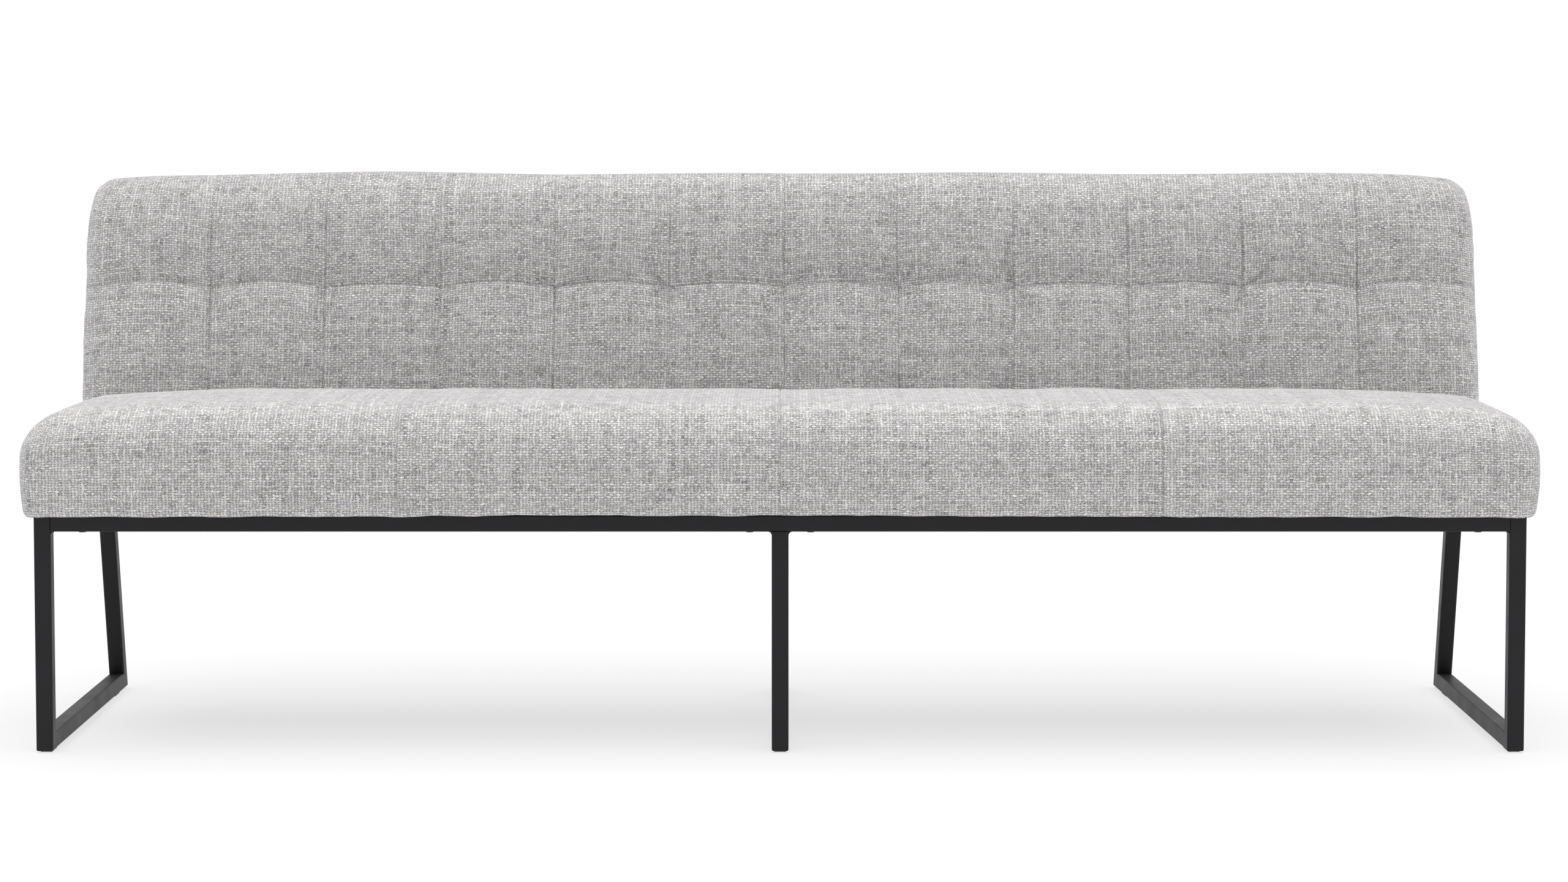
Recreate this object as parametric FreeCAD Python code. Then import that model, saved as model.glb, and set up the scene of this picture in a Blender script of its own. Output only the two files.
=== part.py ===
import FreeCAD
import Part
import math
import os

# A dining banquette: a padded bench seat and a leaning, quilted back on a welded base of square steel tube.
# Sizes are in millimetres. X runs along the bench, Y from front to rear and Z up. The origin is on the floor
# under the middle of the bench.

# Steel base
BASE_LENGTH = 2200.0          # over the outer sides of the end frames
BASE_TOP = 354.0              # floor to the top of the base
BASE_TOP_DEPTH = 490.0        # front of the legs to the rear corner of a side frame, at the top
BASE_FOOT_DEPTH = 585.0       # the same at the floor, so that the rear legs are raked
TUBE = 25.0                   # side of the square tube
TUBE_WALL = 1.5
TUBE_CORNER = 3.0             # outside corner radius of the tube
WELD_LEG = 6.0                # reach of a weld fillet along each tube

# Floor glides, pressed into the floor rails
GLIDE_HEIGHT = 3.0
GLIDE_LENGTH = 36.0
GLIDE_MARGIN = 4.0            # from the side of the tube to the side of the glide
GLIDE_CORNER = 1.0
GLIDE_FRONT = 30.0            # front of the legs to the middle of a front glide
GLIDE_REAR = 72.0             # rear corner of the floor rail to the middle of a rear glide
GLIDE_STEM = 8.0              # diameter
GLIDE_STEM_LENGTH = 10.0

# Bolts up through the base into threaded inserts in the seat
BOLT = 6.0
BOLT_HEAD = 11.0
BOLT_HEAD_HEIGHT = 1.5
BOLT_REACH = 12.0             # into the insert
BOLT_CLEARANCE = 0.3          # round the shank, in the tube and in the dust cover
INSERT = 10.0                 # outside diameter
INSERT_LENGTH = 15.0
INSERT_ROOM = 5.0             # depth of the timber's hole beyond the insert
END_BOLT = 70.0               # end of the base to the outermost bolt in the front rail
MIDDLE_BOLT = 45.0            # middle of the base to the next bolt in the front rail

# Seat
SEAT_HEIGHT = 519.0           # where the slopes of the seat's top meet, above its rounded crown
SEAT_OVERHANG_END = 25.0      # past the ends of the base
SEAT_OVERHANG_FRONT = 15.0
SEAT_FALL = 14.0              # from the crown to the front and rear edges
SEAT_END_FALL = 16.0          # from the crown to the ends
SEAT_END_RUN = 300.0          # length over which the seat falls at each end
SEAT_CROWN_RADIUS = 1500.0
SEAT_EDGE = 72.0              # radius of the front edge and of the end edges
SEAT_REAR_EDGE = 18.0
SEAT_CORNER = 46.0            # radius of the front corners, seen from above
SEAT_REAR_CORNER = 20.0
SEAT_DROP = 4.0               # of the cover below the top of the base, at the front and ends
SEAT_REAR_PADDING = 8.0       # between the timber and the cover, at the rear
SEAT_BACK_GAP = 0.5           # between the covers of the seat and of the back
COVER = 3.0                   # plain upholstery fabric with its lining
DUST_COVER = 1.0
TIMBER = 28.0                 # thickness of the seat's timber rails
SEAT_RAIL_HEIGHT = 55.0
FELT = 4.0

# Zigzag springs between the front and rear timber rails
SPRING_WIRE = 3.8
SPRING_WIDTH = 52.0
SPRING_PITCH = 24.0           # nominal distance from bar to bar
SPRINGS_PER_BAY = 4
CLIP = 1.2                    # thickness of a spring clip's sheet
CLIP_WIDTH = 16.0
CLIP_TAIL = 9.0               # length of a clip beyond the wire

# Back
BACK_HEIGHT = 846.0           # floor to the highest line of the back
BACK_LEAN = 11.5              # degrees from upright
BACK_FRONT_EDGE = 58.0        # radius of the top front edge
BACK_REAR_EDGE = 22.0
BACK_SIDE_EDGE = 34.0         # radius of the front edges at the ends
BACK_TOP_CORNER = 60.0        # radius of the top corners, seen from the front
FRAME_CORNER = 100.0          # the same corners of the timber and the board, under their padding
EDGE_PADDING = 5.0            # between the timber and the rear cover, along the top and the ends
QUILT = 14.0                  # quilted front cover with its wadding
BACK_FOAM = 36.0
BOARD = 9.0
STILE = 33.0                  # thickness of the back's timber
STILE_WIDTH = 60.0
BACK_TOP_RAIL = 55.0          # widths of the rails, up the back
BACK_BOTTOM_RAIL = 60.0
CHANNELS = 12                 # quilted panels along the back
CHANNEL_END = 19.0            # extra width of the two end panels
TUFT_RISE = 321.0             # from the base up the back to the tufted seam
SEAM_WIDTH = 20.0             # of the groove that a quilting seam makes
SEAM_DEPTH = 6.0
TIE = 3.0                     # diameter of a tuft tie
TIE_CLEARANCE = 0.25
TUFT_WASHER = 18.0            # diameter
TUFT_WASHER_THICKNESS = 2.0

# Support bars that stand on the rear rails and run up inside the back
BAR_WIDTH = 40.0
BAR = 6.0
BAR_HEIGHT = 270.0            # up the back, and as far down before the rail cuts it
BARS = 4                      # spread evenly about the middle of the bench
CHANNELS_PER_BAR = 3
BAR_CLEARANCE = 0.2
SCREW = 5.0
SCREW_HEAD = 10.0
SCREW_LENGTH = 24.0
SCREW_RISES = (120.0, 220.0)  # from the base up the back

# Sizes that follow from those above
LEAN = math.radians(BACK_LEAN)
BASE_END = BASE_LENGTH / 2
RAIL_UNDERSIDE = BASE_TOP - TUBE
FRAME_X = {"left": TUBE / 2 - BASE_END, "middle": 0.0, "right": BASE_END - TUBE / 2}
RAKE = (BASE_FOOT_DEPTH - BASE_TOP_DEPTH) / (BASE_TOP - GLIDE_HEIGHT)
BACK_LENGTH = BASE_LENGTH + 2 * SEAT_OVERHANG_END
BOARD_FRONT = QUILT + BACK_FOAM
STILE_FRONT = BOARD_FRONT + BOARD
STILE_REAR = STILE_FRONT + STILE
BACK_THICKNESS = STILE_REAR + COVER
CHANNEL = (BACK_LENGTH - 2 * CHANNEL_END) / CHANNELS
TUFT_X = [CHANNEL * (i - CHANNELS / 2) for i in range(1, CHANNELS)]
BAR_X = [CHANNEL * CHANNELS_PER_BAR * (i - (BARS - 1) / 2) for i in range(BARS)]
REAR_RAIL_Y = BASE_TOP_DEPTH - TUBE / 2
BACK_FOOT_Y = REAR_RAIL_Y - (STILE_FRONT + BAR / 2) / math.cos(LEAN)
BACK_RISE = BACK_FRONT_EDGE + (
    BACK_HEIGHT - BASE_TOP - BACK_FRONT_EDGE * (1 - math.sin(LEAN))
) / math.cos(LEAN)
TIMBER_BOTTOM = BASE_TOP + DUST_COVER
TIMBER_TOP = TIMBER_BOTTOM + SEAT_RAIL_HEIGHT
SPRING_Z = TIMBER_TOP + CLIP + SPRING_WIRE / 2
FELT_BOTTOM = TIMBER_TOP + 2 * CLIP + SPRING_WIRE
FELT_TOP = FELT_BOTTOM + FELT
SEAT_REAR = BACK_FOOT_Y - SEAT_BACK_GAP
TIMBER_REAR = SEAT_REAR - COVER / math.cos(LEAN) - SEAT_REAR_PADDING
REAR_BOLT_Y = TIMBER_REAR - TIMBER / 2
FRONT_BOLT_Y = TUBE / 2
FRONT_BOLT_X = [END_BOLT - BASE_END, -MIDDLE_BOLT, MIDDLE_BOLT, BASE_END - END_BOLT]
BEYOND = BASE_LENGTH + BASE_FOOT_DEPTH + BACK_HEIGHT

X = FreeCAD.Vector(1, 0, 0)
Y = FreeCAD.Vector(0, 1, 0)
Z = FreeCAD.Vector(0, 0, 1)


def box(x, y, z):
    """A block from three (low, high) pairs."""
    return Part.makeBox(x[1] - x[0], y[1] - y[0], z[1] - z[0], FreeCAD.Vector(x[0], y[0], z[0]))


def rod(diameter, length, start, direction):
    return Part.makeCylinder(diameter / 2, length, start, direction)


def beyond(point, normal):
    """A block that fills the far side of a plane."""
    block = box((-BEYOND, BEYOND), (-BEYOND, BEYOND), (0, BEYOND))
    block.Placement = FreeCAD.Placement(point, FreeCAD.Rotation(Z, normal))
    return block


def rounded_outline(corners, across, up):
    """A face from corners (a, b, radius) in the plane that the vectors across and up span."""
    points = [across * a + up * b for a, b, radius in corners]
    edges = []
    ends = []
    for i, point in enumerate(points):
        radius = corners[i][2]
        before = (points[i - 1] - point).normalize()
        after = (points[(i + 1) % len(points)] - point).normalize()
        half_angle = before.getAngle(after) / 2
        reach = radius / math.tan(half_angle)
        start = point + before * reach
        end = point + after * reach
        ends.append((start, end))
        if radius > 0:
            middle = point + (before + after).normalize() * (radius / math.sin(half_angle) - radius)
            edges.append(Part.Arc(start, middle, end).toShape())
    for i in range(len(ends)):
        edges.append(Part.LineSegment(ends[i - 1][1], ends[i][0]).toShape())
    return Part.Face(Part.Wire(Part.__sortEdges__(edges)))


def square_bar(side, corner, length):
    """A square bar along Z with its middle on the axis."""
    bar = box((-side / 2, side / 2), (-side / 2, side / 2), (0, length))
    if corner <= 0:
        return bar
    along = [e for e in bar.Edges if abs(e.tangentAt(e.FirstParameter).z) > 0.5]
    return bar.makeFillet(corner, along)


def tube(start, end, run_on):
    """A square tube from start to end and as far beyond each as run_on, with a side facing X or Z."""
    axis = end - start
    length = axis.Length + 2 * run_on
    outside = square_bar(TUBE, TUBE_CORNER, length)
    inside = square_bar(TUBE - 2 * TUBE_WALL, TUBE_CORNER - TUBE_WALL, length)
    axis.normalize()
    turn = FreeCAD.Rotation(Z, axis)
    shape = outside.cut(inside)
    shape.Placement = FreeCAD.Placement(start - axis * run_on, turn)
    return shape


def frame_corner(y_name, z):
    """A corner of a side frame's centre line: y at the front legs or at the raked rear legs, at height z."""
    if y_name == "front":
        return FreeCAD.Vector(0, TUBE / 2, z)
    outer = BASE_FOOT_DEPTH - RAKE * (z - GLIDE_HEIGHT)
    return FreeCAD.Vector(0, outer - TUBE / 2 * math.hypot(1, RAKE), z)


def mitred(names):
    """The tubes of a closed side frame, each cut at its corners along the plane midway between neighbours."""
    low = GLIDE_HEIGHT + TUBE / 2
    high = BASE_TOP - TUBE / 2
    corners = [
        frame_corner("front", high),
        frame_corner("front", low),
        frame_corner("rear", low),
        frame_corner("rear", high),
    ]
    pieces = {}
    for i, name in enumerate(names):
        start = corners[i]
        end = corners[(i + 1) % 4]
        along = (end - start).normalize()
        before = (start - corners[i - 1]).normalize()
        after = (corners[(i + 2) % 4] - end).normalize()
        piece = tube(start, end, 2 * TUBE)
        piece = piece.cut(beyond(end, along + after))
        pieces[name] = piece.cut(beyond(start, (along + before) * -1))
    return pieces


def glide_places():
    return [(x, y) for x in FRAME_X.values() for y in (GLIDE_FRONT, BASE_FOOT_DEPTH - GLIDE_REAR)]


def bolt_places():
    return [(x, FRONT_BOLT_Y) for x in FRONT_BOLT_X] + [(x, REAR_BOLT_Y) for x in FRAME_X.values()]


def bolt_holes(diameter, low, high):
    return [rod(diameter, high - low, FreeCAD.Vector(x, y, low), Z) for x, y in bolt_places()]


def base():
    """The welded steel base: three side frames, a front rail and two rear rails."""
    pieces = {}
    names = ("front_leg", "floor_rail", "rear_leg", "side_rail")
    stems = [
        rod(GLIDE_STEM, GLIDE_STEM_LENGTH, FreeCAD.Vector(x, y, GLIDE_HEIGHT), Z) for x, y in glide_places()
    ]
    holes = bolt_holes(BOLT + 2 * BOLT_CLEARANCE, RAIL_UNDERSIDE - TUBE, BASE_TOP + TUBE)
    for side, x in FRAME_X.items():
        for name, piece in mitred(names).items():
            piece.translate(X * x)
            pieces[side + "_" + name] = piece.cut(stems).cut(holes)
    # The front rail runs between the end legs and over the middle frame, which is cut back to fit it.
    inner = BASE_END - TUBE
    rail_axis = FreeCAD.Vector(0, TUBE / 2, BASE_TOP - TUBE / 2)
    pieces["front_rail"] = tube(rail_axis - X * inner, rail_axis + X * inner, 0).cut(holes)
    rail_room = box((-TUBE, TUBE), (-TUBE, TUBE), (RAIL_UNDERSIDE, BASE_TOP + TUBE))
    for name in ("middle_front_leg", "middle_side_rail"):
        pieces[name] = pieces[name].cut(rail_room)
    rear_axis = FreeCAD.Vector(0, REAR_RAIL_Y, BASE_TOP - TUBE / 2)
    pieces["left_rear_rail"] = tube(rear_axis - X * inner, rear_axis - X * (TUBE / 2), 0)
    pieces["right_rear_rail"] = tube(rear_axis + X * (TUBE / 2), rear_axis + X * inner, 0)
    return pieces


def weld(x, toward):
    """A hollow-faced fillet under the front rail, on the leg face at x; toward is +1 or -1 along X."""
    corner = FreeCAD.Vector(x, TUBE_CORNER, RAIL_UNDERSIDE)
    side = corner + X * (toward * WELD_LEG)
    below = corner - Z * WELD_LEG
    hollow = side - Z * WELD_LEG + (corner - side + Z * WELD_LEG).normalize() * WELD_LEG
    edges = [
        Part.LineSegment(below, corner).toShape(),
        Part.LineSegment(corner, side).toShape(),
        Part.Arc(side, hollow, below).toShape(),
    ]
    return Part.Face(Part.Wire(edges)).extrude(Y * (TUBE - 2 * TUBE_CORNER))


def base_fittings():
    """Weld fillets, glides, bolts and the support bars."""
    inner = BASE_END - TUBE
    welds = [weld(-inner, 1), weld(-TUBE / 2, -1), weld(TUBE / 2, 1), weld(inner, -1)]
    glides = []
    width = TUBE - 2 * GLIDE_MARGIN
    for x, y in glide_places():
        pad = box(
            (x - width / 2, x + width / 2),
            (y - GLIDE_LENGTH / 2, y + GLIDE_LENGTH / 2),
            (0, GLIDE_HEIGHT),
        )
        upright = [e for e in pad.Edges if abs(e.tangentAt(e.FirstParameter).z) > 0.5]
        pad = pad.makeFillet(GLIDE_CORNER, upright)
        stem = rod(GLIDE_STEM, GLIDE_STEM_LENGTH, FreeCAD.Vector(x, y, GLIDE_HEIGHT), Z)
        glides.append(pad.fuse(stem).removeSplitter())
    bolts = []
    inserts = []
    for x, y in bolt_places():
        head = rod(BOLT_HEAD, BOLT_HEAD_HEIGHT, FreeCAD.Vector(x, y, RAIL_UNDERSIDE - BOLT_HEAD_HEIGHT), Z)
        length = TIMBER_BOTTOM + BOLT_REACH - RAIL_UNDERSIDE
        shank = rod(BOLT, length, FreeCAD.Vector(x, y, RAIL_UNDERSIDE), Z)
        bolts.append(head.fuse(shank))
        barrel = rod(INSERT, INSERT_LENGTH, FreeCAD.Vector(x, y, TIMBER_BOTTOM), Z)
        inserts.append(barrel.cut(rod(BOLT, INSERT_LENGTH, FreeCAD.Vector(x, y, TIMBER_BOTTOM), Z)))
    return {
        "front_rail_welds": Part.makeCompound(welds),
        "floor_glides": Part.makeCompound(glides),
        "seat_bolts": Part.makeCompound(bolts),
        "seat_inserts": Part.makeCompound(inserts),
    }


def back_front_y(z):
    """Where the front of the back is, at height z."""
    return BACK_FOOT_Y + (z - BASE_TOP) * math.tan(LEAN)


def seat_form(inset, bottom):
    """The padded seat, moved inward all round by inset and cut off level at bottom."""
    end = BACK_LENGTH / 2 - inset
    front = inset - SEAT_OVERHANG_FRONT
    top = SEAT_HEIGHT - inset
    rear_gap = SEAT_BACK_GAP + inset / math.cos(LEAN)
    rear_top = back_front_y(top - SEAT_FALL) - rear_gap
    side_corners = [
        (front, bottom, 0),
        (front, top - SEAT_FALL, SEAT_EDGE - inset),
        ((front + rear_top) / 2, top, SEAT_CROWN_RADIUS),
        (rear_top, top - SEAT_FALL, SEAT_REAR_EDGE - inset),
        (back_front_y(bottom) - rear_gap, bottom, 0),
    ]
    end_corners = [
        (-end, bottom, 0),
        (-end, top - SEAT_END_FALL, SEAT_EDGE - inset),
        (SEAT_END_RUN - end, top, SEAT_CROWN_RADIUS),
        (end - SEAT_END_RUN, top, SEAT_CROWN_RADIUS),
        (end, top - SEAT_END_FALL, SEAT_EDGE - inset),
        (end, bottom, 0),
    ]
    plan_corners = [
        (-end, front, SEAT_CORNER - inset),
        (end, front, SEAT_CORNER - inset),
        (end, rear_top, SEAT_REAR_CORNER - inset),
        (-end, rear_top, SEAT_REAR_CORNER - inset),
    ]
    side = rounded_outline(side_corners, Y, Z).extrude(X * (2 * BACK_LENGTH))
    side.translate(X * -BACK_LENGTH)
    ends = rounded_outline(end_corners, X, Z).extrude(Y * BEYOND)
    ends.translate(Y * (-BEYOND / 2))
    plan = rounded_outline(plan_corners, X, Y).extrude(Z * BEYOND)
    return side.common(ends).common(plan)


def spring(x):
    """One zigzag spring from the front timber rail to the rear one."""
    front = TIMBER / 2
    span = TIMBER_REAR - TIMBER - 2 * (front - TIMBER / 2)
    count = max(2, round(span / SPRING_PITCH))
    step = span / count
    half = SPRING_WIDTH / 2 - step / 2
    edges = []
    side = 1
    for i in range(count + 1):
        y = front + i * step
        start = FreeCAD.Vector(x - side * half, y, SPRING_Z)
        end = FreeCAD.Vector(x + side * half, y, SPRING_Z)
        edges.append(Part.LineSegment(start, end).toShape())
        if i < count:
            bend = end + X * (side * step / 2) + Y * (step / 2)
            edges.append(Part.Arc(end, bend, end + Y * step).toShape())
        side = -side
    start = FreeCAD.Vector(x - half, front, SPRING_Z)
    section = Part.Wire(Part.makeCircle(SPRING_WIRE / 2, start, X))
    return Part.Wire(edges).makePipeShell([section], True, False)


def clip(x, y, inward):
    """A folded clip over the end bar of a spring at y; inward is the way to the middle of the seat."""
    outer = y - inward * (SPRING_WIRE / 2 + CLIP)
    slot = y - inward * SPRING_WIRE / 2
    tail = y + inward * CLIP_TAIL
    across = (x - CLIP_WIDTH / 2, x + CLIP_WIDTH / 2)
    body = box(across, sorted((outer, tail)), (TIMBER_TOP, FELT_BOTTOM))
    return body.cut(box(across, sorted((slot, tail)), (TIMBER_TOP + CLIP, FELT_BOTTOM - CLIP)))


def seat():
    """Timber rails, springs, felt, foam, cover and dust cover of the seat."""
    level = (TIMBER_BOTTOM, TIMBER_TOP)
    inner = (TIMBER, TIMBER_REAR - TIMBER)
    cross_x = [-BASE_LENGTH / 4, 0.0, BASE_LENGTH / 4]
    holes = bolt_holes(INSERT, TIMBER_BOTTOM, TIMBER_BOTTOM + INSERT_LENGTH + INSERT_ROOM)
    pieces = {
        "seat_front_timber": box((-BASE_END, BASE_END), (0, TIMBER), level).cut(holes),
        "seat_rear_timber": box((-BASE_END, BASE_END), (inner[1], TIMBER_REAR), level).cut(holes),
        "seat_left_timber": box((-BASE_END, TIMBER - BASE_END), inner, level),
        "seat_right_timber": box((BASE_END - TIMBER, BASE_END), inner, level),
    }
    for name, x in zip(("left", "middle", "right"), cross_x):
        pieces["seat_" + name + "_cross_timber"] = box((x - TIMBER / 2, x + TIMBER / 2), inner, level)
    bay_ends = [TIMBER / 2 - BASE_END] + cross_x + [BASE_END - TIMBER / 2]
    spring_x = []
    for low, high in zip(bay_ends, bay_ends[1:]):
        spring_x += [low + (high - low) * (i + 0.5) / SPRINGS_PER_BAY for i in range(SPRINGS_PER_BAY)]
    pieces["seat_springs"] = Part.makeCompound([spring(x) for x in spring_x])
    clips = []
    for x in spring_x:
        clips.append(clip(x, TIMBER / 2, 1))
        clips.append(clip(x, TIMBER_REAR - TIMBER / 2, -1))
    pieces["spring_clips"] = Part.makeCompound(clips)
    pieces["spring_felt"] = box((-BASE_END, BASE_END), (0, TIMBER_REAR), (FELT_BOTTOM, FELT_TOP))
    frame_room = box((-BASE_END, BASE_END), (0, TIMBER_REAR), (BASE_TOP - TUBE, FELT_TOP))
    pieces["seat_foam"] = seat_form(COVER, BASE_TOP).cut(frame_room)
    base_room = box((-BASE_END, BASE_END), (0, BEYOND), (0, BASE_TOP))
    skin = seat_form(0, BASE_TOP - SEAT_DROP).cut(seat_form(COVER, BASE_TOP - TUBE))
    pieces["seat_cover"] = skin.cut(base_room)
    sheet = box((-BASE_END, BASE_END), (0, TIMBER_REAR), (BASE_TOP, TIMBER_BOTTOM))
    pieces["seat_dust_cover"] = sheet.cut(bolt_holes(BOLT + 2 * BOLT_CLEARANCE, BASE_TOP, TIMBER_BOTTOM))
    return pieces


def leaned(shape):
    """Set a shape that was built upright, with Y into the back and Z up it, at the back's lean."""
    shape.Placement = FreeCAD.Placement(
        FreeCAD.Vector(0, BACK_FOOT_Y, BASE_TOP), FreeCAD.Rotation(X, -BACK_LEAN)
    ).multiply(shape.Placement)
    return shape


def back_form(inset, corner=BACK_TOP_CORNER, padding=0.0):
    """The padded back before it leans, moved inward by inset, and by padding at the top and the ends.

    It runs on below the base's top.
    """
    end = BACK_LENGTH / 2 - inset - padding
    top = BACK_RISE - inset - padding
    low = -BACK_THICKNESS
    rear = BACK_THICKNESS - inset
    side_corners = [
        (inset, low, 0),
        (inset, top, BACK_FRONT_EDGE - inset),
        (rear, top, BACK_REAR_EDGE - inset),
        (rear, low, 0),
    ]
    front_corners = [
        (-end, low, 0),
        (-end, top, corner - inset),
        (end, top, corner - inset),
        (end, low, 0),
    ]
    plan_corners = [
        (-end, inset, BACK_SIDE_EDGE - inset),
        (end, inset, BACK_SIDE_EDGE - inset),
        (end, rear, BACK_REAR_EDGE - inset),
        (-end, rear, BACK_REAR_EDGE - inset),
    ]
    side = rounded_outline(side_corners, Y, Z).extrude(X * (2 * BACK_LENGTH))
    side.translate(X * -BACK_LENGTH)
    front = rounded_outline(front_corners, X, Z).extrude(Y * (2 * BACK_THICKNESS))
    front.translate(Y * (-BACK_THICKNESS / 2))
    plan = rounded_outline(plan_corners, X, Y).extrude(Z * BEYOND)
    plan.translate(Z * low)
    return side.common(front).common(plan)


def seam_grooves():
    """Round grooves along the quilting seams: one along the back and one between each pair of panels."""
    radius = (SEAM_WIDTH ** 2 / 4 + SEAM_DEPTH ** 2) / (2 * SEAM_DEPTH)
    depth = SEAM_DEPTH - radius
    low = BACK_FRONT_EDGE + SEAM_WIDTH
    level = FreeCAD.Vector(-BACK_LENGTH, depth, TUFT_RISE)
    grooves = [rod(2 * radius, 2 * BACK_LENGTH, level, X)]
    for x in TUFT_X:
        start = FreeCAD.Vector(x, depth, low)
        grooves.append(rod(2 * radius, BACK_RISE - BACK_FRONT_EDGE - low, start, Z))
    return grooves


def layer(low, high):
    """A slab through the whole back between two depths from its front."""
    return box((-BACK_LENGTH, BACK_LENGTH), (low, high), (-BEYOND, BEYOND))


def back():
    """Support bars, timber, board, foam, covers and tufting of the back."""
    outer = back_form(0)
    lined = back_form(COVER, FRAME_CORNER, EDGE_PADDING)
    bars = []
    screws = []
    for x in BAR_X:
        bar = box(
            (x - BAR_WIDTH / 2, x + BAR_WIDTH / 2),
            (STILE_FRONT, STILE_FRONT + BAR),
            (-BAR_HEIGHT, BAR_HEIGHT),
        )
        for rise in SCREW_RISES:
            head = FreeCAD.Vector(x, STILE_FRONT, rise)
            cone = Part.makeCone(SCREW_HEAD / 2, SCREW / 2, (SCREW_HEAD - SCREW) / 2, head, Y)
            screw = cone.fuse(rod(SCREW, SCREW_LENGTH, head, Y)).removeSplitter()
            bar = bar.cut(screw)
            screws.append(screw)
        bars.append(bar)
    bar_rooms = [
        box(
            (x - BAR_WIDTH / 2 - BAR_CLEARANCE, x + BAR_WIDTH / 2 + BAR_CLEARANCE),
            (STILE_FRONT - BOARD / 2, STILE_FRONT + BAR + BAR_CLEARANCE),
            (-BEYOND, BAR_HEIGHT + BAR_CLEARANCE),
        )
        for x in BAR_X
    ]
    timber = lined.common(layer(STILE_FRONT, STILE_REAR)).cut(bar_rooms).cut(screws)
    end = BACK_LENGTH / 2 - COVER - EDGE_PADDING
    rail_low = BACK_RISE - COVER - EDGE_PADDING - BACK_TOP_RAIL
    along = (-BACK_LENGTH, BACK_LENGTH)
    through = (0, BACK_THICKNESS)
    pieces = {
        "back_top_timber": timber.common(box(along, through, (rail_low, BEYOND))),
        "back_bottom_timber": timber.common(box(along, through, (-BEYOND, BACK_BOTTOM_RAIL))),
    }
    stile_x = [STILE_WIDTH / 2 - end] + BAR_X + [end - STILE_WIDTH / 2]
    stile_names = ("left_end", "left_outer", "left_inner", "right_inner", "right_outer", "right_end")
    for name, x in zip(stile_names, stile_x):
        place = box((x - STILE_WIDTH / 2, x + STILE_WIDTH / 2), through, (BACK_BOTTOM_RAIL, rail_low))
        pieces["back_" + name + "_stile"] = timber.common(place)
    ties = []
    washers = []
    tie_rooms = []
    for x in TUFT_X:
        start = FreeCAD.Vector(x, QUILT, TUFT_RISE)
        behind = FreeCAD.Vector(x, STILE_FRONT, TUFT_RISE)
        length = BACK_FOAM + BOARD + TUFT_WASHER_THICKNESS
        ties.append(rod(TIE, length, start, Y))
        washer = rod(TUFT_WASHER, TUFT_WASHER_THICKNESS, behind, Y)
        washers.append(washer.cut(rod(TIE, TUFT_WASHER_THICKNESS, behind, Y)))
        tie_rooms.append(rod(TIE + 2 * TIE_CLEARANCE, BACK_FOAM + BOARD, start, Y))
    pieces["back_board"] = lined.common(layer(BOARD_FRONT, STILE_FRONT)).cut(tie_rooms)
    pieces["back_foam"] = back_form(QUILT).common(layer(QUILT, BOARD_FRONT)).cut(tie_rooms)
    quilt = outer.cut(back_form(QUILT)).common(layer(0, BOARD_FRONT))
    pieces["back_front_cover"] = quilt.cut(seam_grooves())
    pieces["back_rear_cover"] = outer.cut(lined).common(layer(BOARD_FRONT, BACK_THICKNESS))
    pieces["tuft_ties"] = Part.makeCompound(ties)
    pieces["tuft_washers"] = Part.makeCompound(washers)
    pieces["stile_screws"] = Part.makeCompound(screws)
    pieces["back_support_bars"] = Part.makeCompound(bars)
    below = beyond(FreeCAD.Vector(0, 0, BASE_TOP), Z * -1)
    sheet_room = box((-BEYOND, BEYOND), (0, BEYOND), (BASE_TOP, TIMBER_BOTTOM))
    sheet = leaned(back_form(COVER, FRAME_CORNER, EDGE_PADDING)).common(sheet_room)
    for name, piece in pieces.items():
        pieces[name] = leaned(piece).cut(below)
    quilt_room = leaned(outer.cut(back_form(QUILT)).common(layer(0, BOARD_FRONT)))
    pieces["back_dust_cover"] = sheet.cut(quilt_room).cut([leaned(room) for room in bar_rooms])
    for name in ("back_bottom_timber", "back_board", "back_foam"):
        pieces[name] = pieces[name].cut(sheet_room)
    return pieces


def main():
    pieces = {}
    pieces.update(base())
    pieces.update(base_fittings())
    pieces.update(seat())
    pieces.update(back())
    # The origin goes midway between the front of the seat and the rearmost line of the back or feet.
    outline = Part.makeCompound(list(pieces.values())).optimalBoundingBox(False, False)
    middle = (outline.YMin + outline.YMax) / 2
    os.makedirs("parts", exist_ok=True)
    for name, piece in pieces.items():
        piece.translate(Y * -middle)
        piece.exportStep("parts/" + name + ".step")


main()
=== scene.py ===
import math

import bmesh
import bpy
import numpy as np
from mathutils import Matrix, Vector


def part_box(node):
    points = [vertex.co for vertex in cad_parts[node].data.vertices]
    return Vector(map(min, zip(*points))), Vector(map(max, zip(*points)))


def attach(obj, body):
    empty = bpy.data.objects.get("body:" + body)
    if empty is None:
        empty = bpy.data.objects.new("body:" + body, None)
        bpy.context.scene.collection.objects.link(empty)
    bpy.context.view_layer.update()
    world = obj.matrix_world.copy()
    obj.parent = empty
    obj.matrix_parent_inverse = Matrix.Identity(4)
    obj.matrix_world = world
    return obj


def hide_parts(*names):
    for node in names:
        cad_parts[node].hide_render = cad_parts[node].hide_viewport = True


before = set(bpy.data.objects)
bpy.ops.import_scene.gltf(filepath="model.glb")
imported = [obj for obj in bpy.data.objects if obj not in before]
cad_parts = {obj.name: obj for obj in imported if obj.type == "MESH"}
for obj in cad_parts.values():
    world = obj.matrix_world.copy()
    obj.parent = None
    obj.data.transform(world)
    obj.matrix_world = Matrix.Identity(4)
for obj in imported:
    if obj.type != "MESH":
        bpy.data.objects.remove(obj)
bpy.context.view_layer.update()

scene = bpy.context.scene
scene.view_settings.view_transform = "Standard"

# Sizes are in metres, in the frame of the solids: X along the bench, Y from front to rear and Z up.
MM = 0.001
TINY = 1e-6

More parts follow.
